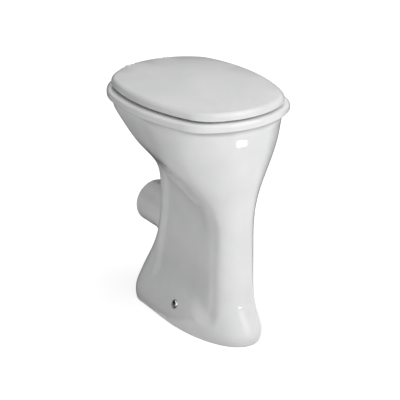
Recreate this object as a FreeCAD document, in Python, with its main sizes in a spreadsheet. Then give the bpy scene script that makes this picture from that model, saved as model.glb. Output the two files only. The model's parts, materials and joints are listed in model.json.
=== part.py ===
import FreeCAD, Part
import math
import os

import Sketcher
from FreeCAD import Placement, Rotation, Vector

# Floor-standing toilet: a raised ceramic pan with a horizontal rear outlet, a seat ring and a lid.
# Millimetres, +Z up, front towards -Y, origin on the floor under the middle of the rim.

doc = FreeCAD.newDocument("toilet")
dims = doc.addObject("Spreadsheet::Sheet", "dims")

SIZES = {
    # rim and rear deck
    "rim_width": 330,
    "rim_length": 426,
    "rim_height": 528,
    "rim_bead": 17,
    "rim_widest": 15,
    "rim_side_arc": 427,
    "rim_front_corner": 78,
    "rim_front_arc": 186,
    "rim_rear_fullness": 0.4545,
    "rim_rear_arc": 221,
    "rim_round": 7,
    "rim_under_round": 4,
    "deck_thickness": 16,
    "mouth_width": 247,
    "mouth_front_band": 42,
    "mouth_length": 268,
    "mouth_corner": 88,
    "mouth_front_arc": 150,
    "mouth_rear_arc": 260,
    "mouth_round": 7,
    # ceramic walls
    "foot_wall": 12,
    "bowl_wall": 12,
    # trap and outlet
    "outlet_radius": 51,
    "outlet_height": 212,
    "outlet_end": 170,
    "trap_bore": 41,
    "trap_bend": 56,
    "trap_rise_angle": 60,
    "water_seal": 50,
    "sump_y": -86,
    "well_height": 240,
    "well_step": 2.5,
    # flush inlet
    "inlet_height": 450,
    "inlet_margin": 5,
    "inlet_horn": 38,
    "inlet_socket": 27.5,
    "inlet_socket_depth": 42,
    "inlet_bore": 19,
    "seal_bore": 22,
    "seal_flange": 34,
    "seal_flange_thickness": 5,
    "seal_nose": 36,
    # hollow under the rear deck, between the cheeks
    "deck_hollow_width": 190,
    "deck_hollow_depth": 87,
    "deck_hollow_low": 385,
    # lid and seat ring
    "lid_side_margin": 15,
    "lid_front_margin": 10,
    "lid_rear_margin": 11,
    "lid_widest": 10,
    "lid_side_arc": 400,
    "lid_front_corner": 80,
    "lid_front_arc": 180,
    "lid_rear_corner": 80,
    "lid_shell": 4,
    "lid_wall": 5,
    "lid_round": 10,
    "lid_crown": 3,
    "lid_crown_radius": 9000,
    "lid_skirt_gap": 5,
    "lid_rear_notch_depth": 95,
    "lid_rear_notch_width": 236,
    "ring_inset": 8,
    "ring_rear_inset": 18,
    "ring_thickness": 10,
    "ring_round": 4,
    "hole_width": 200,
    "hole_front_band": 50,
    "hole_length": 250,
    "hole_corner": 75,
    "hole_front_arc": 130,
    "hole_rear_arc": 200,
    "seat_buffer_height": 4.5,
    "seat_buffer_front_inset": 43,
    "seat_buffer_front_spread": 124,
    "seat_buffer_rear_inset": 118,
    "seat_buffer_rear_spread": 208,
    "lid_buffer_height": 1.5,
    "lid_buffer_inset": 58,
    "lid_buffer_spread": 124,
    "buffer_radius": 9,
    "buffer_socket": 1.5,
    # hinges
    "hinge_spacing": 100,
    "hinge_setback": 24,
    "hinge_rise": 15,
    "hinge_hole": 7,
    "pin_radius": 2.5,
    "pin_overhang": 2,
    "post_radius": 5.5,
    "post_stem": 4.7,
    "post_relief": 11,
    "lug_radius": 5.5,
    "lug_width": 10,
    "lug_gap": 2,
    "lug_relief": 2,
    "seat_arm_reach": 26,
    "bush_radius": 4,
    "base_radius": 11,
    "base_top_radius": 9,
    "base_thickness": 2.5,
    "gasket_thickness": 1,
    "stud_radius": 3,
    "stud_grip": 5,
    "cone_radius": 12,
    "cone_foot": 9,
    "cone_height": 6,
    "cone_plug": 4,
    "washer_thickness": 1.5,
    "nut_radius": 7,
    "nut_height": 8,
    "nut_wing_span": 28,
    "nut_wing_thickness": 3,
    "nut_wing_drop": 5,
    "stud_tail": 5,
    # floor fixings
    "fixing_y": -26,
    "fixing_height": 47,
    "fixing_seat": 77,
    "fixing_spot": 10.5,
    "fixing_hole": 5,
    "sleeve_wall": 1.4,
    "sleeve_length": 17,
    "side_screw_radius": 3,
    "side_screw_tip": 49,
    "screw_head_radius": 5.5,
    "screw_head_height": 3,
    "screw_washer_radius": 8.2,
    "screw_washer_thickness": 1.2,
    "cap_radius": 9.5,
    "cap_wall": 0.8,
    "cap_height": 5.5,
    "bracket_length": 44,
    "bracket_depth": 30,
    "bracket_height": 58,
    "bracket_thickness": 5,
    "bracket_bolt_hole": 4.5,
    "bracket_bolt_reach": 17,
    # clearances
    "press_clearance": 0.02,
    "running_clearance": 0.05,
    "rest_clearance": 0.2,
}

# Outer skin of the pan from the floor up. Each level: height, front and rear end, half width of the
# rounded front, half width of the flat rear flanks, rear corner radius and depth of the front round.
LEVELS = {
    "foot": (0, -207, 149, 93, 91, 46, 197),
    "instep": (28, -205, 153, 91, 90, 47, 191),
    "shin": (60, -188, 148, 73, 74, 37, 114),
    "ankle": (90, -176, 137, 61.5, 62, 29, 67),
    "calf": (145, -172, 106, 59.5, 58, 26, 62),
    "waist": (200, -171, 85, 59, 57, 25, 60),
    "knee": (300, -173, 76, 63, 57, 26, 65),
    "neck": (350, -178, 84, 86, 65, 39, 88),
    "funnel": (395, -186, 113, 116, 94, 66, 117),
    "bowl": (440, -196, 149, 136, 122, 89, 137),
    "cup": (478, -202, 182, 146, 136, 100, 150),
    "collar": (500, -205, 192, 151, 139, 104, 155),
    "lip": (516, -206, 196, 152, 140, 105, 156),
}
LEVEL_PARTS = ("height", "front", "rear", "column", "flank", "corner", "nose")

# Inside of the bowl from the throat up to the rim. Each level: height, front and rear end, half width, depth of
# the front round and squareness of the rear.
HOLLOWS = {
    "throat": (325, -147, -22, 50, 62, 2),
    "slope": (385, -166, 42, 86, 94, 2.3),
    "shoulder": (436, -179, 88, 117, 124, 2.6),
    "brim": (486, -184, 110, 130, 141, 2.8),
}
HOLLOW_PARTS = ("height", "front", "rear", "half", "nose", "square")


def fill_sheet():
    values = dict(SIZES)
    for table, parts in ((LEVELS, LEVEL_PARTS), (HOLLOWS, HOLLOW_PARTS)):
        for level, numbers in table.items():
            for part, number in zip(parts, numbers):
                values[f"{level}_{part}"] = number
    for row, (alias, number) in enumerate(values.items(), 1):
        dims.set(f"A{row}", alias)
        dims.set(f"B{row}", str(number))
        dims.setAlias(f"B{row}", alias)
    doc.recompute()


fill_sheet()
ALONG = {
    "x": Rotation(Vector(0, 1, 0), 90),
    "y": Rotation(Vector(1, 0, 0), -90),
    "z": Rotation(),
    "-z": Rotation(Vector(1, 0, 0), 180),
    "-x": Rotation(Vector(0, 1, 0), -90),
}
SECTION_POINTS = 18
SIDES = ((-1, "left"), (1, "right"))
OUTWARD = {-1: "-x", 1: "x"}
RIM_FRONT = "0 - rim_length / 2"
RIM_REAR = "rim_length / 2"
RIM_REAR_CORNER = "rim_width * rim_rear_fullness"
LID_REAR_ARC = "rim_width / 2"
INLET_END = f"{RIM_REAR} - inlet_margin"
DECK_LOW = "rim_height - deck_thickness"
RING_LOW = "rim_height + seat_buffer_height"
RING_TOP = f"{RING_LOW} + ring_thickness"
LID_LOW = "rim_height + lid_skirt_gap"
LID_TOP = f"{RING_TOP} + lid_buffer_height + lid_shell + lid_crown"
HINGE_Y = "rim_length / 2 - hinge_setback"
HINGE_Z = "rim_height + hinge_rise"
nodes = []


# Small tools of the model

def full(text):
    """Expression with every alias of the sheet written out as dims.alias."""
    words = []
    for word in str(text).replace("(", " ( ").replace(")", " ) ").split():
        words.append(f"dims.{word}" if dims.getCellFromAlias(word) else word)
    return " ".join(words)


def size(text):
    """Number that an expression of the sheet gives."""
    return float(dims.evalExpression(full(text)))


def bind(thing, sizes):
    for name, text in sizes.items():
        thing.setExpression(name, full(text))


def put(thing, x="0", y="0", z="0", along="z"):
    thing.Placement = Placement(Vector(), ALONG[along])
    bind(thing, {"Placement.Base.x": x, "Placement.Base.y": y, "Placement.Base.z": z})
    return thing


def node(thing, label):
    thing.Label = label
    nodes.append(thing)
    return thing


def cylinder(name, radius, height, x="0", y="0", z="0", along="z"):
    rod = doc.addObject("Part::Cylinder", name)
    bind(rod, {"Radius": radius, "Height": height})
    return put(rod, x, y, z, along)


def box(name, length, width, height, x, y, z):
    """Block centred on x, starting at y and z."""
    block = doc.addObject("Part::Box", name)
    bind(block, {"Length": length, "Width": width, "Height": height})
    return put(block, f"{x} - ( {length} ) / 2", y, z)


def fuse(name, *shapes):
    whole = doc.addObject("Part::MultiFuse", name)
    whole.Shapes = list(shapes)
    whole.Refine = True
    return whole


def cut(name, base, *tools):
    for number, tool in enumerate(tools):
        step = doc.addObject("Part::Cut", f"{name}_{number}")
        step.Base = base
        step.Tool = tool
        base = step
    return base


def group(name, *shapes):
    several = doc.addObject("Part::Compound", name)
    several.Links = list(shapes)
    return several


def fillet(name, base, radius, wanted):
    """Rounds the edges of base that the wanted test picks."""
    doc.recompute()
    rounded = doc.addObject("Part::Fillet", name)
    rounded.Base = base
    picked = [number for number, edge in enumerate(base.Shape.Edges, 1) if wanted(edge)]
    rounded.Edges = [(number, size(radius), size(radius)) for number in picked]
    return rounded


def at_height(text):
    """Test for edges that lie flat at a height."""
    level = size(text)
    return lambda edge: max(abs(edge.BoundBox.ZMin - level), abs(edge.BoundBox.ZMax - level)) < 0.01


def turned(name, profile, x="0", y="0", z="0", along="z"):
    """Body of revolution: profile points are (radius, height) expressions around the body's own Z."""
    body = doc.addObject("PartDesign::Body", name)
    sketch = body.newObject("Sketcher::SketchObject", f"{name}_profile")
    plane = next(f for f in body.Origin.OriginFeatures if f.Role == "XZ_Plane")
    sketch.AttachmentSupport = [(plane, "")]
    sketch.MapMode = "FlatFace"
    corners = [Vector(size(r), size(h), 0) for r, h in profile]
    for start, end in zip(corners, corners[1:] + corners[:1]):
        sketch.addGeometry(Part.LineSegment(start, end), False)
    for number, (radius, height) in enumerate(profile):
        before = (number - 1) % len(profile)
        sketch.addConstraint(Sketcher.Constraint("Coincident", before, 2, number, 1))
        for kind, text, axis in (("DistanceX", radius, -2), ("DistanceY", height, -1)):
            if abs(size(text)) < 1e-9:
                sketch.addConstraint(Sketcher.Constraint("PointOnObject", number, 1, axis))
            else:
                index = sketch.addConstraint(Sketcher.Constraint(kind, -1, 1, number, 1, size(text)))
                sketch.setExpression(f"Constraints[{index}]", full(text))
    turn = body.newObject("PartDesign::Revolution", f"{name}_turn")
    turn.Profile = sketch
    turn.ReferenceAxis = (sketch, ["V_Axis"])
    turn.Angle = 360
    return put(body, x, y, z, along)


def tube_profile(outer, inner, height):
    return [(inner, "0"), (outer, "0"), (outer, height), (inner, height)]


# Oval outline: at each end an arc and two corners, joined by long side arcs, all tangent

def oval(name, width, widest, front, rear, side, corners, ends, z):
    """Sketch of eight arcs; corners and ends hold the radii of the (front, rear) corners and end arcs."""
    half, middle, side_r = size(width) / 2, size(widest), size(side)
    corner_r, end_r = [size(text) for text in corners], [size(text) for text in ends]
    side_c = Vector(half - side_r, middle, 0)
    end_c = [Vector(0, size(front) + end_r[0], 0), Vector(0, size(rear) - end_r[1], 0)]
    corner_c = [meeting(side_c, side_r - c, centre, e - c, sign)
                for c, centre, e, sign in zip(corner_r, end_c, end_r, (-1, 1))]
    joins = [(direction(c - side_c), direction(c - e)) for c, e in zip(corner_c, end_c)]
    (front_low, front_high), (rear_low, rear_high) = joins
    turn = math.pi
    arcs = [
        (side_c, side_r, front_low, rear_low),
        (corner_c[1], corner_r[1], rear_low, rear_high),
        (end_c[1], end_r[1], rear_high, turn - rear_high),
        (flipped(corner_c[1]), corner_r[1], turn - rear_high, turn - rear_low),
        (flipped(side_c), side_r, turn - rear_low, turn - front_low),
        (flipped(corner_c[0]), corner_r[0], turn - front_low, turn - front_high),
        (end_c[0], end_r[0], turn - front_high, 2 * turn + front_high),
        (corner_c[0], corner_r[0], front_high, front_low),
    ]
    sketch = doc.addObject("Sketcher::SketchObject", name)
    for centre, radius, start, end in arcs:
        sketch.addGeometry(Part.ArcOfCircle(Part.Circle(centre, Vector(0, 0, 1), radius), start, end), False)
    for number in range(len(arcs)):
        sketch.addConstraint(Sketcher.Constraint("Tangent", number, 2, (number + 1) % len(arcs), 1))
    for end in (2, 6):
        sketch.addConstraint(Sketcher.Constraint("PointOnObject", end, 3, -2))
    sketch.addConstraint(Sketcher.Constraint("Horizontal", 0, 3, 4, 3))
    for right, left in ((0, 4), (1, 3), (7, 5)):
        sketch.addConstraint(Sketcher.Constraint("Equal", right, left))
    driven = (
        (Sketcher.Constraint("Radius", 0, side_r), side),
        (Sketcher.Constraint("Radius", 1, corner_r[1]), corners[1]),
        (Sketcher.Constraint("Radius", 2, end_r[1]), ends[1]),
        (Sketcher.Constraint("Radius", 7, corner_r[0]), corners[0]),
        (Sketcher.Constraint("Radius", 6, end_r[0]), ends[0]),
        (Sketcher.Constraint("DistanceX", -1, 1, 0, 3, side_c.x), f"( {width} ) / 2 - ( {side} )"),
        (Sketcher.Constraint("DistanceX", -1, 1, 4, 3, -side_c.x), f"( {side} ) - ( {width} ) / 2"),
        (Sketcher.Constraint("DistanceY", -1, 1, 0, 3, middle), widest),
        (Sketcher.Constraint("DistanceY", -1, 1, 2, 3, end_c[1].y), f"{rear} - ( {ends[1]} )"),
        (Sketcher.Constraint("DistanceY", -1, 1, 6, 3, end_c[0].y), f"{front} + ( {ends[0]} )"),
    )
    for constraint, text in driven:
        index = sketch.addConstraint(constraint)
        sketch.setExpression(f"Constraints[{index}]", full(text))
    return put(sketch, z=z)


def direction(arrow):
    return math.atan2(arrow.y, arrow.x)


def flipped(point):
    return Vector(-point.x, point.y, point.z)


def meeting(first, first_r, second, second_r, sign):
    """Point at first_r from one centre and second_r from the other, on the front (-1) or rear (1) side."""
    gap = second - first
    reach = gap.Length
    along = (first_r ** 2 - second_r ** 2 + reach ** 2) / (2 * reach)
    aside = math.sqrt(first_r ** 2 - along ** 2)
    unit = gap / reach
    across = Vector(-unit.y, unit.x, 0) * aside
    foot = first + unit * along
    return max((foot + across, foot - across), key=lambda point: sign * point.y)


def raised(name, outline, height):
    solid = doc.addObject("Part::Extrusion", name)
    solid.Base = outline
    solid.DirMode = "Custom"
    solid.Dir = Vector(0, 0, 1)
    solid.Solid = True
    bind(solid, {"LengthFwd": height})
    return solid


# Sections and lofts of the pan

def skin_section(level, inset, z):
    """Points along half the outline of the pan at a level, front to rear, drawn in by inset."""
    front = size(f"{level}_front") + inset
    rear = size(f"{level}_rear") - inset
    column = size(f"{level}_column") - inset
    flank = size(f"{level}_flank") - inset
    corner = size(f"{level}_corner") - inset / 2
    nose = size(f"{level}_nose") - inset
    fine = []
    for turn in range(0, 91, 5):
        swing = math.radians(turn)
        fine.append(Vector(column * math.sin(swing), front + nose * (1 - math.cos(swing)), z))
    for turn in range(0, 91, 5):
        swing = math.radians(turn)
        fine.append(Vector(flank - corner * (1 - math.cos(swing)), rear - corner * (1 - math.sin(swing)), z))
    fine.append(Vector(0, rear, z))
    return evenly(fine)


def evenly(fine):
    """The same line with SECTION_POINTS points at equal steps along it."""
    reach = [0.0]
    for start, end in zip(fine, fine[1:]):
        reach.append(reach[-1] + (end - start).Length)
    points, at = [], 0
    for number in range(SECTION_POINTS):
        goal = reach[-1] * number / (SECTION_POINTS - 1)
        while at < len(fine) - 2 and reach[at + 1] < goal:
            at += 1
        share = (goal - reach[at]) / (reach[at + 1] - reach[at])
        points.append(fine[at] + (fine[at + 1] - fine[at]) * share)
    return points


def bowl_section(front, rear, half, nose, square, z):
    """Points along half the inside of the bowl: an ellipse in front, squarer at the rear."""
    middle = front + nose
    points = []
    for turn in range(0, 181, 5):
        across, along = abs(math.sin(math.radians(turn))), -math.cos(math.radians(turn))
        if turn > 90:
            across, along = across ** (2 / square), along ** (2 / square)
        points.append(Vector(half * across, middle + along * (nose if turn < 90 else rear - middle), z))
    points[-1].x = 0
    return evenly(points)


def bowl_sections(grow):
    """Bowl inside from the round sump up to the rim, grown outwards by grow."""
    sump, bore = size("sump_y"), size("trap_bore + well_step") + grow
    sections = [bowl_section(sump - bore, sump + bore, bore, bore, 2, size("well_height"))]
    for level in HOLLOWS:
        z, front, rear, half, nose, square = (size(f"{level}_{part}") for part in HOLLOW_PARTS)
        sections.append(bowl_section(front - grow, rear + grow, half + grow, nose + grow, square, z))
    return sections


def half_curve(points, across):
    """Smooth curve through points that leaves and arrives square to the middle plane."""
    pace = [number / (SECTION_POINTS - 1) for number in range(SECTION_POINTS)]
    speed = Vector(across * sum((end - start).Length for start, end in zip(points, points[1:])), 0, 0)
    curve = Part.BSplineCurve()
    curve.interpolate(Points=points, Parameters=pace, InitialTangent=speed, FinalTangent=-speed, Scale=False)
    return curve.toShape()


def loft(name, sections):
    outlines = []
    for number, points in enumerate(sections):
        others = [flipped(point) for point in reversed(points)]
        outline = doc.addObject("Part::Feature", f"{name}_{number}")
        outline.Shape = Part.Wire([half_curve(points, 1), half_curve(others, -1)])
        outlines.append(outline)
    body = doc.addObject("Part::Loft", name)
    body.Sections = outlines
    body.Solid = True
    body.Ruled = False
    body.MaxDegree = 3
    return body


def trap_path():
    """Line of the water way: down the sump, round the bend, up the rise and out at the rear."""
    bend = size("trap_bend")
    rise = math.radians(size("trap_rise_angle"))
    outlet = size("outlet_height")
    turn_z = outlet - size("water_seal") - 2 * size("trap_bore") + bend
    turn_y = size("sump_y") + bend
    start = Vector(0, size("sump_y"), size("well_height + bowl_wall"))
    down = Vector(0, size("sump_y"), turn_z)
    under = Vector(0, turn_y, turn_z - bend)
    up = Vector(0, turn_y + bend * math.sin(rise), turn_z - bend * math.cos(rise))
    climb = (outlet - bend + bend * math.cos(rise) - up.z) / math.sin(rise)
    crest = up + Vector(0, math.cos(rise), math.sin(rise)) * climb
    weir = Vector(0, crest.y + bend * math.sin(rise), outlet)
    centre = Vector(0, weir.y, outlet - bend)
    middle = centre + Vector(0, -math.sin(rise / 2), math.cos(rise / 2)) * bend
    end = Vector(0, size("outlet_end"), outlet)
    return Part.Wire([
        Part.LineSegment(start, down).toShape(),
        Part.Arc(down, under, up).toShape(),
        Part.LineSegment(up, crest).toShape(),
        Part.Arc(crest, middle, weir).toShape(),
        Part.LineSegment(weir, end).toShape(),
    ])


def trap_tube(name, radius):
    path = doc.addObject("Part::Feature", f"{name}_path")
    path.Shape = trap_path()
    ring = doc.addObject("Part::Feature", f"{name}_ring")
    start = path.Shape.Vertexes[0].Point
    ring.Shape = Part.Wire(Part.Circle(start, Vector(0, 0, 1), size(radius)).toShape())
    tube = doc.addObject("Part::Sweep", name)
    tube.Sections = [ring]
    tube.Spine = (path, [f"Edge{number}" for number in range(1, 6)])
    tube.Solid = True
    tube.Frenet = False
    return tube


# Ceramic pan

def build_pan():
    skin = loft("skin", [skin_section(level, 0, size(f"{level}_height")) for level in LEVELS])
    rim = raised("rim_slab", oval(
        "rim_outline", "rim_width", "rim_widest", RIM_FRONT, RIM_REAR, "rim_side_arc",
        ("rim_front_corner", RIM_REAR_CORNER), ("rim_front_arc", "rim_rear_arc"),
        "rim_height - rim_bead"), "rim_bead")
    rim = fillet("rim_top_rounded", rim, "rim_round", at_height("rim_height"))
    rim = fillet("rim_rounded", rim, "rim_under_round", at_height("rim_height - rim_bead"))
    wall = size("foot_wall")
    hollow_levels = [level for level in LEVELS if size(f"{level}_height") <= size("knee_height")]
    inner = [skin_section(level, wall, size(f"{level}_height")) for level in hollow_levels]
    inner[0] = skin_section("foot", wall, size("foot_height") - wall)
    hollow = loft("foot_hollow", inner)
    deck_hollow = box("deck_hollow", "deck_hollow_width", "deck_hollow_depth + rim_bead",
                      f"{DECK_LOW} - deck_hollow_low", "0", f"{RIM_REAR} - deck_hollow_depth", "deck_hollow_low")
    bowl = loft("bowl_outside", bowl_sections(size("bowl_wall")))
    cavity = loft("bowl_inside", bowl_sections(0))
    trap = trap_tube("trap_outside", "outlet_radius")
    bore = trap_tube("trap_inside", "trap_bore")
    horn = cylinder("inlet_horn_rod", "inlet_horn", f"{INLET_END} - shoulder_rear", "0", "shoulder_rear",
                    "inlet_height", "y")
    shell = cut("shell", fuse("outside", skin, rim), hollow, deck_hollow)
    solid = fuse("ceramic", shell, bowl, trap, horn)
    mouth_front = f"{RIM_FRONT} + mouth_front_band"
    mouth = raised("mouth", oval(
        "mouth_outline", "mouth_width", f"{mouth_front} + mouth_length / 2", mouth_front,
        f"{mouth_front} + mouth_length", "rim_side_arc", ("mouth_corner", "mouth_corner"),
        ("mouth_front_arc", "mouth_rear_arc"), "brim_height - rim_round"),
        "rim_height - brim_height + 2 * rim_round")
    socket = cylinder("inlet_socket_rod", "inlet_socket", "2 * inlet_socket_depth", "0",
                      f"{INLET_END} - inlet_socket_depth", "inlet_height", "y")
    feed = cylinder("inlet_feed", "inlet_bore", f"{INLET_END} - shoulder_rear", "0", "shoulder_rear - inlet_bore",
                    "inlet_height", "y")
    tools = [bore, cavity, mouth, socket, feed]
    for side, hand in SIDES:
        tools.append(cylinder("hinge_hole_rod", "hinge_hole", "2 * deck_thickness", f"{side} * hinge_spacing / 2",
                              HINGE_Y, "rim_height - 1.5 * deck_thickness"))
        tools.append(cylinder("spot_face", "fixing_spot", "foot_column", f"{side} * fixing_seat", "fixing_y",
                              "fixing_height", OUTWARD[side]))
        tools.append(cylinder("fixing_hole_rod", "fixing_hole", "2 * foot_wall + fixing_spot",
                              f"{side} * ( fixing_seat - 2 * foot_wall )", "fixing_y", "fixing_height",
                              OUTWARD[side]))
    pan = cut("pan_cut", solid, *tools)
    reach = size("mouth_width") / 2 + size("mouth_round")

    def is_mouth(edge):
        bounds = edge.BoundBox
        near = max(abs(bounds.XMin), abs(bounds.XMax)) < reach
        return at_height("rim_height")(edge) and near and edge.Length > 2 * math.pi * size("hinge_hole")

    node(fillet("pan_rounded", pan, "mouth_round", is_mouth), "pan")


def build_inlet_seal():
    outer = "inlet_socket - rest_clearance"
    node(turned("inlet_seal", [
        ("seal_bore", "0"), (outer, "0"), (outer, "seal_nose"), ("seal_flange", "seal_nose"),
        ("seal_flange", "seal_nose + seal_flange_thickness"), ("seal_bore", "seal_nose + seal_flange_thickness"),
    ], "0", f"{INLET_END} - seal_nose", "inlet_height", "y"), "inlet_seal")


# Seat ring and lid

def lid_oval(name, inset, z, rear_inset=None):
    """Outline of the lid drawn in by inset, or at its rear end by rear_inset."""
    return oval(name, f"rim_width - 2 * lid_side_margin - 2 * ( {inset} )", "lid_widest",
                f"{RIM_FRONT} + lid_front_margin + ( {inset} )",
                f"{RIM_REAR} - lid_rear_margin - ( {rear_inset or inset} )", f"lid_side_arc - ( {inset} )",
                (f"lid_front_corner - ( {inset} )", f"lid_rear_corner - ( {inset} )"),
                (f"lid_front_arc - ( {inset} )", f"{LID_REAR_ARC} - ( {inset} )"), z)


def lug_middle(side, part):
    """Place along the hinge line of a lug: the seat's is next to the post, the lid's further inwards."""
    number = {"seat": "0.5", "lid": "1.5"}[part]
    return f"{side} * ( hinge_spacing / 2 - post_radius - {number} * ( lug_width + 2 * lug_gap ) )"


def hinge_rod(name, radius, length, middle):
    return cylinder(name, radius, length, f"{middle} - ( {length} ) / 2", HINGE_Y, HINGE_Z, "x")


def buffer_places(part):
    """Seat or lid buffers: places across and along the part."""
    if part == "lid":
        pairs = [("lid_buffer_spread", f"{RIM_FRONT} + lid_buffer_inset")]
    else:
        pairs = [("seat_buffer_front_spread", f"{RIM_FRONT} + seat_buffer_front_inset"),
                 ("seat_buffer_rear_spread", f"{RIM_REAR} - seat_buffer_rear_inset")]
    return [(f"{side} * {spread} / 2", y) for spread, y in pairs for side, hand in SIDES]


def build_seat():
    slab = raised("ring_slab", lid_oval("ring_outline", "ring_inset", RING_LOW, "ring_rear_inset"), "ring_thickness")
    hole_front = f"{RIM_FRONT} + lid_front_margin + ring_inset + hole_front_band"
    hole = raised("ring_hole", oval(
        "hole_outline", "hole_width", f"{hole_front} + hole_length / 2", hole_front, f"{hole_front} + hole_length",
        "lid_side_arc", ("hole_corner", "hole_corner"), ("hole_front_arc", "hole_rear_arc"),
        f"{RING_LOW} - ring_thickness"), "3 * ring_thickness")
    ring = fillet("ring_rounded", cut("ring_open", slab, hole), "ring_round",
                  lambda edge: at_height(RING_LOW)(edge) or at_height(RING_TOP)(edge))
    lugs, reliefs = [ring], []
    for side, hand in SIDES:
        middle = lug_middle(side, "seat")
        lugs.append(hinge_rod(f"seat_lug_{hand}", "lug_radius", "lug_width", middle))
        lugs.append(box(f"seat_arm_{hand}", "lug_width", "seat_arm_reach", "lug_radius", middle,
                        f"{HINGE_Y} - seat_arm_reach", f"{HINGE_Z} - lug_radius"))
        reliefs.append(hinge_rod(f"seat_bush_bore_{hand}", "bush_radius + press_clearance", "lug_width + 2 * lug_gap",
                                 middle))
        reliefs.append(hinge_rod(f"lid_lug_relief_{hand}", "lug_radius + lug_relief", "lug_width + 2 * lug_gap",
                                 lug_middle(side, "lid")))
    for x, y in buffer_places("seat"):
        reliefs.append(cylinder("seat_buffer_socket", "buffer_radius + rest_clearance", "buffer_socket + ring_round",
                                x, y, f"{RING_LOW} - ring_round"))
    node(cut("seat_ring_cut", fuse("ring_with_lugs", *lugs), *reliefs), "seat_ring")
    discs = [cylinder("seat_buffer", "buffer_radius", "seat_buffer_height + buffer_socket - rest_clearance", x, y,
                      "rim_height + rest_clearance") for x, y in buffer_places("seat")]
    node(group("seat_buffers", *discs), "seat_buffers")


def dome(name, outline, low, top):
    """Block over an outline with a slightly domed top."""
    block = raised(f"{name}_block", outline, f"{top} - ( {low} )")
    ball = doc.addObject("Part::Sphere", f"{name}_ball")
    bind(ball, {"Radius": "lid_crown_radius"})
    put(ball, z=f"{top} - lid_crown_radius")
    whole = doc.addObject("Part::MultiCommon", name)
    whole.Shapes = [block, ball]
    return whole


def build_lid():
    outer = dome("lid_outer", lid_oval("lid_outline", "0", LID_LOW), LID_LOW, LID_TOP)
    low = size(LID_LOW)
    rounded = fillet("lid_rounded", outer, "lid_round",
                     lambda edge: edge.BoundBox.ZMin > low + 1 and edge.BoundBox.ZLength < size("lid_round"))
    inner_low = f"{LID_LOW} - lid_shell"
    inner = dome("lid_inner", lid_oval("lid_inner_outline", "lid_wall", inner_low), inner_low,
                 f"{LID_TOP} - lid_shell")
    notch = box("lid_rear_notch", "lid_rear_notch_width", "lid_rear_notch_depth",
                f"{RING_TOP} + lid_buffer_height - ( {inner_low} )", "0", f"{RIM_REAR} - lid_rear_notch_depth",
                inner_low)
    lugs, cuts = [cut("lid_shell_cut", rounded, inner, notch)], []
    for side, hand in SIDES:
        lugs.append(hinge_rod(f"lid_lug_{hand}", "lug_radius", "lug_width", lug_middle(side, "lid")))
        cuts.append(hinge_rod(f"lid_bush_bore_{hand}", "bush_radius + press_clearance", "lug_width + 2 * lug_gap",
                              lug_middle(side, "lid")))
        cuts.append(hinge_rod(f"seat_lug_relief_{hand}", "post_radius + lug_relief", "lug_width + 2 * lug_gap",
                              lug_middle(side, "seat")))
        cuts.append(hinge_rod(f"post_relief_{hand}", "post_relief", "2 * post_radius + 2 * lug_gap",
                              f"{side} * hinge_spacing / 2"))
    for x, y in buffer_places("lid"):
        cuts.append(cylinder("lid_buffer_socket", "buffer_radius + rest_clearance", "lid_buffer_height + lid_shell / 2",
                             x, y, RING_TOP))
    node(cut("lid_cut", fuse("lid_with_lugs", *lugs), *cuts), "lid")
    discs = [cylinder("lid_buffer", "buffer_radius", "lid_buffer_height + lid_shell / 2 - rest_clearance", x, y,
                      f"{RING_TOP} + rest_clearance") for x, y in buffer_places("lid")]
    node(group("lid_buffers", *discs), "lid_buffers")


# Hinges

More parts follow.
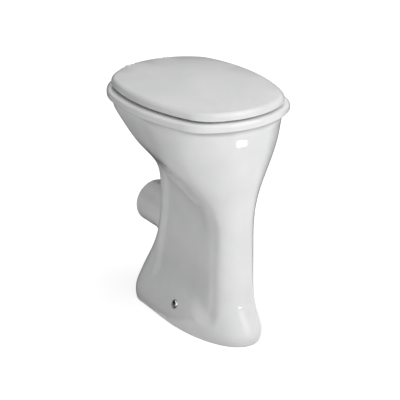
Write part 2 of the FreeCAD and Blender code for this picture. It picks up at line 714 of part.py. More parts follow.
def build_hinge(side, hand):
    x = f"{side} * hinge_spacing / 2"
    base_low = "rim_height + gasket_thickness"
    post_low = f"{base_low} + base_thickness"
    stud_hole = "stud_radius + rest_clearance"
    node(turned(f"gasket_{hand}", tube_profile("base_radius", stud_hole, "gasket_thickness"),
                x, HINGE_Y, "rim_height"), f"hinge_gasket_{hand}")
    node(turned(f"base_{hand}", [(stud_hole, "0"), ("base_radius", "0"), ("base_top_radius", "base_thickness"),
                                 (stud_hole, "base_thickness")], x, HINGE_Y, base_low), f"hinge_base_{hand}")
    post = fuse(f"post_{hand}",
                cylinder(f"post_stem_{hand}", "post_stem", f"{HINGE_Z} - ( {post_low} )", x, HINGE_Y, post_low),
                hinge_rod(f"post_eye_{hand}", "post_radius", "2 * post_radius", x))
    node(cut(f"post_bored_{hand}", post,
             hinge_rod(f"post_bore_{hand}", "pin_radius + running_clearance", "3 * post_radius", x),
             cylinder(f"stud_bore_{hand}", "stud_radius + running_clearance", "stud_grip + rest_clearance",
                      x, HINGE_Y, post_low)), f"hinge_post_{hand}")
    pin_length = "2 * post_radius + 2 * lug_width + 3.5 * lug_gap + pin_overhang"
    node(hinge_rod(f"pin_{hand}", "pin_radius", pin_length,
                   f"{side} * ( hinge_spacing / 2 + post_radius + pin_overhang - ( {pin_length} ) / 2 )"),
         f"hinge_pin_{hand}")
    for part in ("seat", "lid"):
        node(turned(f"{part}_bush_{hand}", tube_profile("bush_radius", "pin_radius + running_clearance", "lug_width"),
                    f"{lug_middle(side, part)} - lug_width / 2", HINGE_Y, HINGE_Z, "x"),
             f"{part}_hinge_bush_{hand}")
    washer_low = f"{DECK_LOW} - cone_height - washer_thickness"
    nut_low = f"{washer_low} - nut_height"
    stud_low = f"{nut_low} - stud_tail"
    node(cylinder(f"stud_{hand}", "stud_radius", f"{post_low} + stud_grip - ( {stud_low} )", x, HINGE_Y, stud_low),
         f"hinge_stud_{hand}")
    plug = "hinge_hole - rest_clearance"
    node(turned(f"cone_{hand}", [
        (stud_hole, "0"), ("cone_foot", "0"), ("cone_radius", "cone_height"), (plug, "cone_height"),
        (plug, "cone_height + cone_plug"), (stud_hole, "cone_height + cone_plug"),
    ], x, HINGE_Y, f"{DECK_LOW} - cone_height"), f"hinge_lower_gasket_{hand}")
    node(turned(f"washer_{hand}", tube_profile("cone_radius", stud_hole, "washer_thickness"), x, HINGE_Y, washer_low),
         f"hinge_washer_{hand}")
    nut = fuse(f"nut_{hand}", cylinder(f"nut_body_{hand}", "nut_radius", "nut_height", x, HINGE_Y, nut_low),
               box(f"nut_wings_{hand}", "nut_wing_span", "nut_wing_thickness", "nut_wing_drop", x,
                   f"{HINGE_Y} - nut_wing_thickness / 2", nut_low))
    node(cut(f"nut_bored_{hand}", nut,
             cylinder(f"nut_bore_{hand}", "stud_radius + running_clearance", "2 * nut_height", x, HINGE_Y,
                      f"{nut_low} - nut_height / 2")), f"hinge_nut_{hand}")


# Floor fixings

def build_fixing(side, hand):
    outward = OUTWARD[side]
    sleeve = "fixing_hole - rest_clearance"
    face = "fixing_seat - sleeve_length - rest_clearance"
    head = "fixing_seat + screw_washer_thickness"

    def across(name, profile, start):
        return turned(name, profile, f"{side} * ( {start} )", "fixing_y", "fixing_height", outward)

    node(across(f"sleeve_{hand}", tube_profile(sleeve, f"{sleeve} - sleeve_wall", "sleeve_length"),
                "fixing_seat - sleeve_length"), f"side_screw_sleeve_{hand}")
    node(across(f"side_washer_{hand}", tube_profile("screw_washer_radius", "side_screw_radius + rest_clearance",
                                                    "screw_washer_thickness"), "fixing_seat"),
         f"side_screw_washer_{hand}")
    shank = f"{head} - side_screw_tip"
    node(across(f"side_screw_{hand}", [
        ("0", "0"), ("side_screw_radius", "0"), ("side_screw_radius", shank), ("screw_head_radius", shank),
        ("screw_head_radius", f"{shank} + screw_head_height"), ("0", f"{shank} + screw_head_height"),
    ], "side_screw_tip"), f"side_screw_{hand}")
    hollow = "cap_radius - cap_wall"
    node(across(f"cap_{hand}", [
        (hollow, "0"), ("cap_radius", "0"), ("cap_radius", "cap_height - cap_wall"), (hollow, "cap_height"),
        ("0", "cap_height"), ("0", "cap_height - cap_wall"), (hollow, "cap_height - cap_wall"),
    ], "fixing_seat"), f"screw_cap_{hand}")
    upright = box(f"bracket_upright_{hand}", "bracket_thickness", "bracket_length", "bracket_height",
                  f"{side} * ( {face} - bracket_thickness / 2 )", "fixing_y - bracket_length / 2", "0")
    floor_leg = box(f"bracket_leg_{hand}", "bracket_depth", "bracket_length", "bracket_thickness",
                    f"{side} * ( {face} - bracket_depth / 2 )", "fixing_y - bracket_length / 2", "0")
    screw_bore = cylinder(f"bracket_screw_bore_{hand}", "side_screw_radius + running_clearance",
                          "3 * bracket_thickness", f"{side} * ( {face} - 2 * bracket_thickness )", "fixing_y",
                          "fixing_height", outward)
    bolt_bore = cylinder(f"bracket_bolt_bore_{hand}", "bracket_bolt_hole", "3 * bracket_thickness",
                         f"{side} * ( {face} - bracket_bolt_reach )", "fixing_y", "0 - bracket_thickness")
    node(cut(f"bracket_{hand}", fuse(f"bracket_angle_{hand}", upright, floor_leg), screw_bore, bolt_bore),
         f"floor_bracket_{hand}")


def check_and_write():
    doc.recompute()
    for thing in doc.Objects:
        if "Invalid" in thing.State or "Error" in thing.State:
            raise RuntimeError(f"{thing.Name} {thing.Label} failed: {thing.State}")
    os.makedirs("parts", exist_ok=True)
    for thing in nodes:
        shape = thing.Shape
        if shape.isNull() or not shape.isValid():
            raise RuntimeError(f"{thing.Label} has no valid shape")
        print(f"{thing.Label}: {len(shape.Solids)} solids, {shape.Volume / 1000:.1f} cm3")
    for thing in nodes:
        thing.Shape.exportStep(f"parts/{thing.Label}.step")


build_pan()
build_inlet_seal()
build_seat()
build_lid()
for side, hand in SIDES:
    build_hinge(side, hand)
    build_fixing(side, hand)
check_and_write()
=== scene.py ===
import json
import math

import bmesh
import bpy
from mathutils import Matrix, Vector


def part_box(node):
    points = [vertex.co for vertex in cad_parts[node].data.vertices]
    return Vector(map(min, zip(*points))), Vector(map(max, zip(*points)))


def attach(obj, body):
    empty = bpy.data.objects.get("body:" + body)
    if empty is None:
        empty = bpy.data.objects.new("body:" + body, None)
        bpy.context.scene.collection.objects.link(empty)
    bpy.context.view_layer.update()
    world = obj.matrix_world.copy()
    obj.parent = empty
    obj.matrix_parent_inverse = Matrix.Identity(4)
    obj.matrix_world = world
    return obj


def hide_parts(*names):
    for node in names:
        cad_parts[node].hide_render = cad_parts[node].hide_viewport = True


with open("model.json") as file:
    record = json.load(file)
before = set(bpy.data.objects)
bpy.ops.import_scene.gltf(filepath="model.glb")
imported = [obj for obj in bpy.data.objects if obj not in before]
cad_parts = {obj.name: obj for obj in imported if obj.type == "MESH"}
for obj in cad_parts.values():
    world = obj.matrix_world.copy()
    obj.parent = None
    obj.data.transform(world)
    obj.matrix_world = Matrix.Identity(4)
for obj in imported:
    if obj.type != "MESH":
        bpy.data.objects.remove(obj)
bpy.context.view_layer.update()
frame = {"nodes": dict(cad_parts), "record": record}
scene = bpy.context.scene
bodyOf = {node: body for body, nodes in frame["record"]["behaviour"]["bodies"].items() for node in nodes}
slotOf = {part["node"]: part["material_slot"] for part in frame["record"]["subparts"]}
perMetre = 1000  # millimetres, the unit of the values whose names end in Mm


def hexColour(text):  # sRGB hex to the linear colour that the nodes take
    parts = [int(text[i:i + 2], 16) / 255 for i in (0, 2, 4)]
    return tuple(c / 12.92 if c <= 0.04045 else ((c + 0.055) / 1.055) ** 2.4 for c in parts) + (1,)


def addNode(tree, kind, inputs=None, **settings):  # a node with its settings, values and links
    node = tree.nodes.new(kind)
    for key, value in settings.items():
        setattr(node, key, value)
    for key, value in (inputs or {}).items():
        if isinstance(value, bpy.types.NodeSocket):
            tree.links.new(value, node.inputs[key])
        else:
            node.inputs[key].default_value = value
    return node


# A Mix node has several sockets named A, B and Result, so these are found by number.
mixFactor, valueA, valueB, colourA, colourB, colourResult = 0, 2, 3, 6, 7, 2
noiseSpan = (0.3, 0.7)  # nearly all of what a noise texture gives lies between these


def startMaterial(name):  # an empty node tree with the object's own coordinates
    material = bpy.data.materials.new(name)
    material.use_nodes = True
    tree = material.node_tree
    tree.nodes.clear()
    place = addNode(tree, "ShaderNodeTexCoord").outputs["Object"]
    return material, tree, place


# Vitreous china, slip cast, dipped and fired: a deep wet gloss over a body that is never quite even,
# slow clouds a hand wide, a ripple of a few millimetres in the reflections, and a bare ring at the floor.
glazeLook = {
    "glaze": "F3F3F2", "thinGlaze": "EBEBEB", "cloudMm": 95, "cloudSpan": (0.3, 0.65),
    "iron": "A79B88", "speckSpacingMm": 30, "speckMm": (0.36, 0.84), "speckStrength": 0.22,
    "bareClay": "B7B2A8", "bareMm": 0.9, "bareRoughness": 0.8,
    # crease is the grey of the painted shade in tight corners
    "crease": "646463", "paintedShadeMm": 18, "paintedShadeSpan": (0.35, 0.86),
    "rippleMm": 9, "rippleDepthMm": 0.03, "roughness": (0.025, 0.06),
}


def makeGlaze():
    look = glazeLook
    material, tree, place = startMaterial("vitreousChinaFiredGlaze")
    cloud = addNode(tree, "ShaderNodeTexNoise", {
        "Vector": place, "Scale": perMetre / look["cloudMm"], "Detail": 3.0})
    tone = addNode(tree, "ShaderNodeMapRange", {
        "Value": cloud.outputs["Fac"], "From Min": look["cloudSpan"][0], "From Max": look["cloudSpan"][1]})
    white = addNode(tree, "ShaderNodeMix", {
        mixFactor: tone.outputs[0], colourA: hexColour(look["thinGlaze"]),
        colourB: hexColour(look["glaze"])}, data_type="RGBA")
    # iron specks under the glaze, half a millimetre across, drawn a little larger so that they show:
    # full out to the first radius and gone at the second
    speck = addNode(tree, "ShaderNodeTexVoronoi", {
        "Vector": place, "Scale": perMetre / look["speckSpacingMm"]})
    dot = addNode(tree, "ShaderNodeMapRange", {
        "Value": speck.outputs["Distance"], "To Min": look["speckStrength"], "To Max": 0.0,
        "From Min": look["speckMm"][0] / look["speckSpacingMm"],
        "From Max": look["speckMm"][1] / look["speckSpacingMm"]})
    dotted = addNode(tree, "ShaderNodeMix", {
        mixFactor: dot.outputs[0], colourA: white.outputs[colourResult],
        colourB: hexColour(look["iron"])}, data_type="RGBA")
    # the foot is wiped clean of glaze so that it doesn't stick to the kiln shelf
    height = addNode(tree, "ShaderNodeSeparateXYZ", {"Vector": place})
    bare = addNode(tree, "ShaderNodeMapRange", {
        "Value": height.outputs["Z"], "From Min": look["bareMm"] / perMetre,
        "From Max": 2 * look["bareMm"] / perMetre, "To Min": 1.0, "To Max": 0.0})
    wiped = addNode(tree, "ShaderNodeMix", {
        mixFactor: bare.outputs[0], colourA: dotted.outputs[colourResult],
        colourB: hexColour(look["bareClay"])}, data_type="RGBA")
    # painted shade: the piece's own tight corners, such as under the bead of the rim, are painted grey where
    # shade falls in them
    corner = addNode(tree, "ShaderNodeAmbientOcclusion", {"Distance": look["paintedShadeMm"] / perMetre},
                     samples=8, only_local=True)
    deep = addNode(tree, "ShaderNodeMapRange", {
        "Value": corner.outputs["AO"], "From Min": look["paintedShadeSpan"][0],
        "From Max": look["paintedShadeSpan"][1], "To Min": 1.0, "To Max": 0.0})
    colour = addNode(tree, "ShaderNodeMix", {
        mixFactor: deep.outputs[0], colourA: wiped.outputs[colourResult],
        colourB: hexColour(look["crease"])}, data_type="RGBA")
    gloss = addNode(tree, "ShaderNodeMapRange", {
        "Value": cloud.outputs["Fac"], "From Min": noiseSpan[0], "From Max": noiseSpan[1],
        "To Min": look["roughness"][0], "To Max": look["roughness"][1]})
    rough = addNode(tree, "ShaderNodeMix", {
        mixFactor: bare.outputs[0], valueA: gloss.outputs[0], valueB: look["bareRoughness"]})
    ripple = addNode(tree, "ShaderNodeTexNoise", {
        "Vector": place, "Scale": perMetre / look["rippleMm"], "Detail": 1.0})
    bump = addNode(tree, "ShaderNodeBump", {
        "Height": ripple.outputs["Fac"], "Strength": 0.5, "Distance": look["rippleDepthMm"] / perMetre})
    shader = addNode(tree, "ShaderNodeBsdfPrincipled", {
        "Base Color": colour.outputs[colourResult], "IOR": 1.52, "Roughness": rough.outputs[0],
        "Normal": bump.outputs[0]})
    addNode(tree, "ShaderNodeOutputMaterial", {"Surface": shader.outputs[0]})
    return material


# Urea moulding powder, pressed hot in a polished steel tool: hard and white like the china beside it,
# but a shade greyer, with a softer gloss, a fine orange peel and faint flow clouds.
ureaLook = {
    "body": "EFEFEE", "flow": "E6E6E6", "flowMm": 140, "flowSpan": (0.32, 0.66),
    "peelMm": 2.6, "peelDepthMm": 0.008, "roughness": (0.17, 0.25),
}


def makeUrea():
    look = ureaLook
    material, tree, place = startMaterial("ureaPressMoulded")
    flow = addNode(tree, "ShaderNodeTexNoise", {
        "Vector": place, "Scale": perMetre / look["flowMm"], "Detail": 4.0, "Distortion": 0.6})
    tone = addNode(tree, "ShaderNodeMapRange", {
        "Value": flow.outputs["Fac"], "From Min": look["flowSpan"][0], "From Max": look["flowSpan"][1]})
    colour = addNode(tree, "ShaderNodeMix", {
        mixFactor: tone.outputs[0], colourA: hexColour(look["flow"]),
        colourB: hexColour(look["body"])}, data_type="RGBA")
    gloss = addNode(tree, "ShaderNodeMapRange", {
        "Value": flow.outputs["Fac"], "From Min": noiseSpan[0], "From Max": noiseSpan[1],
        "To Min": look["roughness"][1], "To Max": look["roughness"][0]})  # glossier where the body is whiter
    peel = addNode(tree, "ShaderNodeTexNoise", {
        "Vector": place, "Scale": perMetre / look["peelMm"], "Detail": 1.0})
    bump = addNode(tree, "ShaderNodeBump", {
        "Height": peel.outputs["Fac"], "Strength": 0.4, "Distance": look["peelDepthMm"] / perMetre})
    shader = addNode(tree, "ShaderNodeBsdfPrincipled", {
        "Base Color": colour.outputs[colourResult], "IOR": 1.55, "Roughness": gloss.outputs[0],
        "Normal": bump.outputs[0]})
    addNode(tree, "ShaderNodeOutputMaterial", {"Surface": shader.outputs[0]})
    return material


# EPDM rubber, moulded and lightly chalked: matt, grey white, with a bloom that comes and goes.
# The mould's grain, about 0.2 mm, is drawn coarser so that it shows.
rubberLook = {
    "body": "B9B9B6", "bloom": "D2D2CF", "bloomMm": 12, "grainMm": 0.9, "grainDepthMm": 0.05,
    "roughness": (0.55, 0.8),
}


def makeRubber():
    look = rubberLook
    material, tree, place = startMaterial("epdmRubberMoulded")
    bloom = addNode(tree, "ShaderNodeTexNoise", {
        "Vector": place, "Scale": perMetre / look["bloomMm"], "Detail": 5.0})
    colour = addNode(tree, "ShaderNodeMix", {
        mixFactor: bloom.outputs["Fac"], colourA: hexColour(look["body"]),
        colourB: hexColour(look["bloom"])}, data_type="RGBA")
    gloss = addNode(tree, "ShaderNodeMapRange", {
        "Value": bloom.outputs["Fac"], "From Min": noiseSpan[0], "From Max": noiseSpan[1],
        "To Min": look["roughness"][0], "To Max": look["roughness"][1]})
    grain = addNode(tree, "ShaderNodeTexNoise", {
        "Vector": place, "Scale": perMetre / look["grainMm"], "Detail": 2.0})
    bump = addNode(tree, "ShaderNodeBump", {
        "Height": grain.outputs["Fac"], "Strength": 0.3, "Distance": look["grainDepthMm"] / perMetre})
    shader = addNode(tree, "ShaderNodeBsdfPrincipled", {
        "Base Color": colour.outputs[colourResult], "IOR": 1.5, "Roughness": gloss.outputs[0],
        "Normal": bump.outputs[0]})
    addNode(tree, "ShaderNodeOutputMaterial", {"Surface": shader.outputs[0]})
    return material


# Zinc die casting, polished and chrome plated: a cold mirror with water spots and a trace of polishing haze.
chromeLook = {
    "plate": "D8DADD", "spot": "BFC2C6", "spotSpacingMm": 5, "spotMm": (0.5, 1.5), "spotStrength": 0.35,
    "hazeMm": 16, "roughness": (0.1, 0.22),
}


def makeChrome():
    look = chromeLook
    material, tree, place = startMaterial("zincChromePlated")
    spots = addNode(tree, "ShaderNodeTexVoronoi", {
        "Vector": place, "Scale": perMetre / look["spotSpacingMm"]})
    dried = addNode(tree, "ShaderNodeMapRange", {
        "Value": spots.outputs["Distance"], "To Min": look["spotStrength"], "To Max": 0.0,
        "From Min": look["spotMm"][0] / look["spotSpacingMm"],
        "From Max": look["spotMm"][1] / look["spotSpacingMm"]})
    colour = addNode(tree, "ShaderNodeMix", {
        mixFactor: dried.outputs[0], colourA: hexColour(look["plate"]),
        colourB: hexColour(look["spot"])}, data_type="RGBA")
    haze = addNode(tree, "ShaderNodeTexNoise", {
        "Vector": place, "Scale": perMetre / look["hazeMm"], "Detail": 4.0})
    gloss = addNode(tree, "ShaderNodeMapRange", {
        "Value": haze.outputs["Fac"], "From Min": noiseSpan[0], "From Max": noiseSpan[1],
        "To Min": look["roughness"][0], "To Max": look["roughness"][1]})
    shader = addNode(tree, "ShaderNodeBsdfPrincipled", {
        "Base Color": colour.outputs[colourResult], "Metallic": 1.0, "Roughness": gloss.outputs[0]})
    addNode(tree, "ShaderNodeOutputMaterial", {"Surface": shader.outputs[0]})
    return material


# Stainless bar, turned: grey and satin, with tool rings. Real ones are about 0.3 mm apart,
# and these are drawn nine times as coarse so that they show.
steelLook = {
    "bright": "C4C4C2", "dull": "A3A3A1", "cloudMm": 7, "ringMm": 2.762, "ringDepthMm": 0.02,
    "roughness": (0.26, 0.42),
}
bandRadians = 10  # what diagonal bands of a Wave texture turn through for one unit along an axis


def makeSteel():
    look = steelLook
    material, tree, place = startMaterial("stainlessTurned")
    cloud = addNode(tree, "ShaderNodeTexNoise", {
        "Vector": place, "Scale": perMetre / look["cloudMm"], "Detail": 3.0})
    colour = addNode(tree, "ShaderNodeMix", {
        mixFactor: cloud.outputs["Fac"], colourA: hexColour(look["dull"]),
        colourB: hexColour(look["bright"])}, data_type="RGBA")
    gloss = addNode(tree, "ShaderNodeMapRange", {
        "Value": cloud.outputs["Fac"], "From Min": noiseSpan[0], "From Max": noiseSpan[1],
        "To Min": look["roughness"][0], "To Max": look["roughness"][1]})
    rings = addNode(tree, "ShaderNodeTexWave", {  # diagonal, so that bars along any axis have them
        "Vector": place, "Scale": math.tau / bandRadians * perMetre / look["ringMm"], "Distortion": 0.4},
        bands_direction="DIAGONAL")
    bump = addNode(tree, "ShaderNodeBump", {
        "Height": rings.outputs["Fac"], "Strength": 0.25, "Distance": look["ringDepthMm"] / perMetre})
    shader = addNode(tree, "ShaderNodeBsdfPrincipled", {
        "Base Color": colour.outputs[colourResult], "Metallic": 1.0, "Roughness": gloss.outputs[0],
        "Normal": bump.outputs[0]})
    addNode(tree, "ShaderNodeOutputMaterial", {"Surface": shader.outputs[0]})
    return material


# Nylon 6, injection moulded in a spark-eroded tool: ivory, waxy, with a fine grain and a milky depth.
# The grain, about 0.1 mm, is drawn coarser so that it shows.
nylonLook = {
    "body": "E4E1D6", "core": "D8D4C6", "cloudMm": 18, "sparkMm": 0.8, "sparkDepthMm": 0.04,
    "roughness": (0.38, 0.52),
}


def makeNylon():
    look = nylonLook
    material, tree, place = startMaterial("nylonInjectionMoulded")
    cloud = addNode(tree, "ShaderNodeTexNoise", {
        "Vector": place, "Scale": perMetre / look["cloudMm"], "Detail": 3.0})
    colour = addNode(tree, "ShaderNodeMix", {
        mixFactor: cloud.outputs["Fac"], colourA: hexColour(look["core"]),
        colourB: hexColour(look["body"])}, data_type="RGBA")
    gloss = addNode(tree, "ShaderNodeMapRange", {
        "Value": cloud.outputs["Fac"], "From Min": noiseSpan[0], "From Max": noiseSpan[1],
        "To Min": look["roughness"][0], "To Max": look["roughness"][1]})
    grain = addNode(tree, "ShaderNodeTexNoise", {
        "Vector": place, "Scale": perMetre / look["sparkMm"], "Detail": 2.0})
    bump = addNode(tree, "ShaderNodeBump", {
        "Height": grain.outputs["Fac"], "Strength": 0.25, "Distance": look["sparkDepthMm"] / perMetre})
    shader = addNode(tree, "ShaderNodeBsdfPrincipled", {
        "Base Color": colour.outputs[colourResult], "IOR": 1.53, "Roughness": gloss.outputs[0],
        "Normal": bump.outputs[0]})
    addNode(tree, "ShaderNodeOutputMaterial", {"Surface": shader.outputs[0]})
    return material


finishes = {
    "glazed_ceramic": makeGlaze(), "white_moulded_plastic": makeUrea(), "grey_rubber": makeRubber(),
    "chrome_plate": makeChrome(), "stainless_steel": makeSteel(), "natural_nylon": makeNylon(),
}
print("materials made:", len(finishes))


def addObject(name, shape, material):
    mesh = bpy.data.meshes.new(name)
    shape.to_mesh(mesh)
    shape.free()
    mesh.materials.append(material)
    piece = bpy.data.objects.new(name, mesh)
    scene.collection.objects.link(piece)
    return piece


def replaceNode(node, name, shape):  # the piece that shows in place of a CAD node
    piece = addObject(name, shape, finishes[slotOf[node]])
    attributes = piece.data.attributes
    if "custom_normal" in attributes:  # those of the CAD mesh would hide the creases
        attributes.remove(attributes["custom_normal"])
    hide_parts(node)
    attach(piece, bodyOf[node])


def spinOutline(points, centre, axis, steps, angle):  # a full turn closes on itself
    shape = bmesh.new()
    corners = [shape.verts.new(point) for point in points]
    for start, end in zip(corners, corners[1:]):
        shape.edges.new((start, end))
    bmesh.ops.spin(shape, geom=shape.verts[:] + shape.edges[:], cent=centre, axis=axis, steps=steps,
                   angle=angle, use_merge=angle == math.tau)
    return shape


def cutToTriangles(shape):
    bmesh.ops.triangulate(shape, faces=[face for face in shape.faces if len(face.verts) > 3])


def step(place, low, high):  # metres in: 0 at low, 1 at high, which are in millimetres, and smooth between
    share = min(max((place * perMetre - low) / (high - low), 0), 1)
    return share * share * (3 - 2 * share)


# Each flank of the column is a shallow tray between the round front, a ridge at the rear and the flare
# of the foot. Where there are two sizes, a slope starts at the first and ends at the second.
flankTray = {
    "depthMm": 6.5, "frontMm": (-157, -126), "rearMm": (70, 52), "rearLean": 0.18, "leanFromMm": 170,
    "lowMm": (28, 64), "highMm": (395, 240),
    "liftMm": 26, "liftFromMm": (-125, -70),  # the lower end rises behind the front pocket
    "screwClearMm": (12, 36),  # the tray keeps away from the side screw
    "innerMm": 40, "floorMm": 15, "marginMm": 20, "facing": 0.4,  # which faces count as the flank
    "meshMm": 6, "cutRounds": 4,  # its triangles are long, and are cut until they can bend
}


def sinkFlanks(shape):
    tray = flankTray
    low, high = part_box("screw_cap_left")
    screw = (low + high) / 2

    def onFlank(face):
        x, y, z = (size * perMetre for size in face.calc_center_median())
        return (abs(x) > tray["innerMm"] and face.normal.x * x > tray["facing"] * abs(x)
                and tray["frontMm"][0] - tray["marginMm"] < y < tray["rearMm"][0] + tray["marginMm"]
                and tray["floorMm"] < z < tray["highMm"][0] + tray["marginMm"])

    for turn in range(tray["cutRounds"]):
        edges = [edge for edge in shape.edges if edge.calc_length() * perMetre > tray["meshMm"]
                 and any(onFlank(face) for face in edge.link_faces)]
        bmesh.ops.subdivide_edges(shape, edges=edges, cuts=1)
        cutToTriangles(shape)
    shape.normal_update()
    skin = {vert for face in shape.faces if onFlank(face) for vert in face.verts}
    for vert in skin:
        x, y, z = vert.co
        rear = y + tray["rearLean"] * (z - tray["leanFromMm"] / perMetre)
        above = z - tray["liftMm"] / perMetre * step(y, *tray["liftFromMm"])
        sink = step(y, *tray["frontMm"]) * step(rear, *tray["rearMm"])
        sink *= step(above, *tray["lowMm"]) * step(z, *tray["highMm"])
        sink *= step(math.hypot(y - screw.y, z - screw.z), *tray["screwClearMm"])
        vert.co.x -= math.copysign(tray["depthMm"] / perMetre * sink, x)


# The glaze draws back under the bead of the rim: a groove round the front that holds the shadow line.
# It sinks towards the straight middle line of the oval.
beadGroove = {"depthMm": 4.0, "heightMm": (494, 510), "beadLowMm": 511.5, "fadeMm": (70, -30),
              "middleMm": (-50, 60), "outerMm": 135}


def cutGroove(shape):
    groove = beadGroove
    front, rear = (end / perMetre for end in groove["middleMm"])
    for vert in shape.verts:
        x, y, z = vert.co
        away = Vector((x, y - min(max(y, front), rear), 0))
        inHeight = groove["heightMm"][0] < z * perMetre < groove["beadLowMm"]
        if inHeight and away.length > groove["outerMm"] / perMetre:
            sink = step(z, *groove["heightMm"]) * step(y, *groove["fadeMm"])
            vert.co -= away.normalized() * groove["depthMm"] / perMetre * sink


# Smooth copies of the CAD pieces: one skin each, with a crease only where the real edge is sharp.
smoothing = {"creaseDegrees": {"pan": 42, "lid": 40, "seat_ring": 40}, "otherDegrees": 35,
             "mergeMm": 0.002, "sliverMm": 0.005}


def smoothCopy(node):
    shape = bmesh.new()
    shape.from_mesh(frame["nodes"][node].data)
    bmesh.ops.remove_doubles(shape, verts=shape.verts, dist=smoothing["mergeMm"] / perMetre)
    if node == "pan":
        sinkFlanks(shape)
        cutGroove(shape)
        bmesh.ops.dissolve_degenerate(shape, edges=shape.edges[:], dist=smoothing["sliverMm"] / perMetre)
        cutToTriangles(shape)
    crease = math.radians(smoothing["creaseDegrees"].get(node, smoothing["otherDegrees"]))
    for face in shape.faces:
        face.smooth = True
    for edge in shape.edges:
        edge.smooth = len(edge.link_faces) == 2 and edge.calc_face_angle(0) < crease
    return shape


# Snap caps of the side screws: a pressed dome with a rolled edge and a small dimple where the tool held it.
# The outline gives the radius and the height above the flank.
capShape = {
    "outlineMm": ((9.5, 0.0), (9.5, 1.1), (9.2, 1.5), (8.7, 1.6), (8.3, 1.9), (7.6, 3.3), (6.2, 4.5),
                  (4.4, 5.2), (2.4, 5.5), (1.5, 5.3), (0.7, 4.9), (0.0, 4.8)),
    "steps": 48, "mergeMm": 0.001,
}


def screwCap(node):
    low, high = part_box(node)
    side = 1 if low.x > 0 else -1
    foot = Vector((low.x if side > 0 else high.x, (low.y + high.y) / 2, (low.z + high.z) / 2))
    points = [foot + Vector((side * height, radius, 0)) / perMetre
              for radius, height in capShape["outlineMm"]]
    shape = spinOutline(points, foot, (1, 0, 0), capShape["steps"], math.tau)
    bmesh.ops.remove_doubles(shape, verts=shape.verts, dist=capShape["mergeMm"] / perMetre)
    bmesh.ops.holes_fill(shape, edges=[edge for edge in shape.edges if edge.is_boundary])
    bmesh.ops.recalc_face_normals(shape, faces=shape.faces)
    for face in shape.faces:
        face.smooth = len(face.verts) <= 4  # all but the flat base
    return shape


for node in sorted(frame["nodes"]):
    if node.startswith("screw_cap"):
        replaceNode(node, node + "Dome", screwCap(node))
    else:
        replaceNode(node, node + "Smooth", smoothCopy(node))
print("pieces smoothed:", len(frame["nodes"]))


def direction(azimuth, elevation):  # from the object towards a place round it
    turn, rise = math.radians(azimuth), math.radians(elevation)
    return Vector((math.sin(turn) * math.cos(rise), -math.cos(turn) * math.cos(rise), math.sin(rise)))


def aim(piece, view, target):  # stands a camera or a lamp where the view says, facing the target
    place = target + direction(view["azimuth"], view["elevation"]) * view["distance"]
    piece.location = place
    piece.rotation_euler = (target - place).to_track_quat("-Z", "Y").to_euler()


# Camera: where the photograph was taken from.
cameraView = {"azimuth": -36.03, "elevation": 24.61, "distance": 2.5015, "target": (0.0212, 0.0165, 0.2619),
              "lensMm": 99.8, "sensorMm": 36}

lens = bpy.data.cameras.new("photoCamera")
lens.lens = cameraView["lensMm"]
lens.sensor_width = cameraView["sensorMm"]
camera = bpy.data.objects.new("photoCamera", lens)
scene.collection.objects.link(camera)
aim(camera, cameraView, Vector(cameraView["target"]))
scene.camera = camera


# Lamps: a square softbox in front and a wide one above it, a small strip low before the bowl for its glint,
# a board on the floor, a tall softbox at the left that the glaze doesn't mirror, and one overhead.
lamps = {
    "frontSoftbox": {"azimuth": 10, "elevation": 14, "distance": 2.4, "size": (1.1, 1.1), "watts": 6.8},
    "highSoftbox": {"azimuth": 12, "elevation": 42, "distance": 2.4, "size": (2.4, 1.5), "watts": 25.5},
    "glintSoftbox": {"azimuth": 10.6, "elevation": -17, "distance": 0.851, "size": (0.24, 0.04),
                     "watts": 0.2},
    "floorBoard": {"azimuth": -35, "elevation": -16, "distance": 0.95, "size": (0.9, 0.5), "watts": 0.55},
    "leftSoftbox": {"azimuth": -80, "elevation": 7, "distance": 2.6, "size": (0.7, 1.6), "watts": 13.6,
                    "mirrored": False},
    "overhead": {"azimuth": 60, "elevation": 74, "distance": 2.4, "size": (1.6, 1.6), "watts": 12.6},
}
lampTarget = Vector((0, 0, 0.3))
for name, lamp in lamps.items():
    light = bpy.data.lights.new(name, "AREA")
    light.shape = "RECTANGLE"
    light.size, light.size_y = lamp["size"]
    light.energy = lamp["watts"]
    softbox = bpy.data.objects.new(name, light)
    softbox.visible_camera = False
    softbox.visible_glossy = lamp.get("mirrored", True)
    scene.collection.objects.link(softbox)
    aim(softbox, lamp, lampTarget)


# Stage: white floor and white surroundings. The camera and reflections see them white, the rest sees a dimmer
# room, and the floor is painted darker near the object: painted shade round its foot, which also makes the
# floor light the foot less.
stageLook = {
    "floorMetres": 14, "floor": "F4F4F4", "floorShade": "B4B4B4", "floorShadeMetres": (0.22, 0.6),
    "floorGlow": (0.8, 1.0), "glowMetres": (0.7, 2.2), "backdrop": "FFFFFF", "backdropStrength": 1.0,
    "room": "F2F4F6", "roomStrength": 0.19,
}


def stagePiece(name, shape, material):
    piece = addObject(name, shape, material)
    return piece


def whatIsSeen(tree):  # 1 for what the camera, a mirror or clear glass looks at, 0 for plain light
    path = addNode(tree, "ShaderNodeLightPath")
    seen = addNode(tree, "ShaderNodeMath", {
        0: path.outputs["Is Camera Ray"], 1: path.outputs["Is Glossy Ray"]}, operation="MAXIMUM")
    return addNode(tree, "ShaderNodeMath", {
        0: seen.outputs[0], 1: path.outputs["Is Transmission Ray"]}, operation="MAXIMUM").outputs[0]


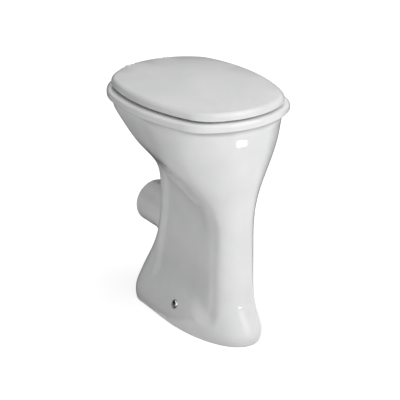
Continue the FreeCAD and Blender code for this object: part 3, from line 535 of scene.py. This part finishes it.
def makeFloorPaint():
    look = stageLook
    material, tree, place = startMaterial("paintedStudioFloor")
    reach = addNode(tree, "ShaderNodeVectorMath", {0: place}, operation="LENGTH")
    level = addNode(tree, "ShaderNodeMapRange", {
        "Value": reach.outputs["Value"], "From Min": look["glowMetres"][0], "From Max": look["glowMetres"][1],
        "To Min": look["floorGlow"][0], "To Max": look["floorGlow"][1]})
    share = addNode(tree, "ShaderNodeMath", {0: whatIsSeen(tree), 1: level.outputs[0]}, operation="MULTIPLY")
    # painted shade: the floor paint darkens towards the object, round its foot
    floorShadeShare = addNode(tree, "ShaderNodeMapRange", {
        "Value": reach.outputs["Value"], "From Min": look["floorShadeMetres"][0],
        "From Max": look["floorShadeMetres"][1]})
    tint = addNode(tree, "ShaderNodeMix", {
        mixFactor: floorShadeShare.outputs[0], colourA: hexColour(look["floorShade"]),
        colourB: hexColour(look["floor"])}, data_type="RGBA")
    paint = addNode(tree, "ShaderNodeBsdfDiffuse", {"Color": tint.outputs[colourResult]})
    glow = addNode(tree, "ShaderNodeEmission", {
        "Color": hexColour(look["backdrop"]), "Strength": share.outputs[0]})
    both = addNode(tree, "ShaderNodeAddShader", {0: paint.outputs[0], 1: glow.outputs[0]})
    addNode(tree, "ShaderNodeOutputMaterial", {"Surface": both.outputs[0]})
    return material


floorShape = bmesh.new()
bmesh.ops.create_grid(floorShape, x_segments=1, y_segments=1, size=stageLook["floorMetres"] / 2)
stagePiece("studioFloor", floorShape, makeFloorPaint())

# Black cloth behind the object, seen only in its gloss: it draws the dark edge round white china on white.
# It thins out to nothing towards its ends, so that no hard edge shows in the glaze.
flagLook = {
    "cloth": "161616", "nearMetres": 0.1, "farMetres": 1.0, "heightMetres": 0.8, "gapMetres": 0.004,
    "middleDegrees": 175, "reachDegrees": 115, "softDegrees": 30, "steps": 32,
}


def makeFlagCloth():
    look = flagLook
    material, tree, place = startMaterial("blackStudioCloth")
    turned = addNode(tree, "ShaderNodeVectorRotate", {
        "Vector": place, "Angle": math.radians(-look["middleDegrees"])}, rotation_type="Z_AXIS")
    axes = addNode(tree, "ShaderNodeSeparateXYZ", {"Vector": turned.outputs[0]})
    swing = addNode(tree, "ShaderNodeMath", {0: axes.outputs["X"], 1: axes.outputs["Y"]}, operation="ARCTAN2")
    off = addNode(tree, "ShaderNodeMath", {0: swing.outputs[0]}, operation="ABSOLUTE")
    thin = addNode(tree, "ShaderNodeMapRange", {
        "Value": off.outputs[0],
        "From Min": math.pi - math.radians(look["reachDegrees"] - look["softDegrees"]),
        "From Max": math.pi - math.radians(look["reachDegrees"])}, interpolation_type="SMOOTHSTEP")
    cloth = addNode(tree, "ShaderNodeBsdfDiffuse", {"Color": hexColour(look["cloth"])})
    clear = addNode(tree, "ShaderNodeBsdfTransparent")
    both = addNode(tree, "ShaderNodeMixShader", {
        0: thin.outputs[0], 1: cloth.outputs[0], 2: clear.outputs[0]})
    addNode(tree, "ShaderNodeOutputMaterial", {"Surface": both.outputs[0]})
    return material


def flagSheet():  # from under the object out along the floor, and up behind it
    look = flagLook
    end = direction(look["middleDegrees"] - look["reachDegrees"], 0)
    outline = ((look["nearMetres"], look["gapMetres"]), (look["farMetres"], look["gapMetres"]),
               (look["farMetres"], look["heightMetres"]))
    points = [end * reach + Vector((0, 0, height)) for reach, height in outline]
    return spinOutline(points, (0, 0, 0), (0, 0, 1), look["steps"], math.radians(2 * look["reachDegrees"]))


flag = stagePiece("blackFlag", flagSheet(), makeFlagCloth())
flag.visible_camera = flag.visible_diffuse = flag.visible_shadow = flag.visible_transmission = False


def makeRoom():
    world = bpy.data.worlds.new("studioRoom")
    world.use_nodes = True
    tree = world.node_tree
    tree.nodes.clear()
    room = addNode(tree, "ShaderNodeBackground", {
        "Color": hexColour(stageLook["room"]), "Strength": stageLook["roomStrength"]})
    backdrop = addNode(tree, "ShaderNodeBackground", {
        "Color": hexColour(stageLook["backdrop"]), "Strength": stageLook["backdropStrength"]})
    both = addNode(tree, "ShaderNodeMixShader", {
        0: whatIsSeen(tree), 1: room.outputs[0], 2: backdrop.outputs[0]})
    addNode(tree, "ShaderNodeOutputWorld", {"Surface": both.outputs[0]})
    return world


scene.world = makeRoom()
scene.view_settings.view_transform = "Standard"
print("camera, lamps and stage placed")
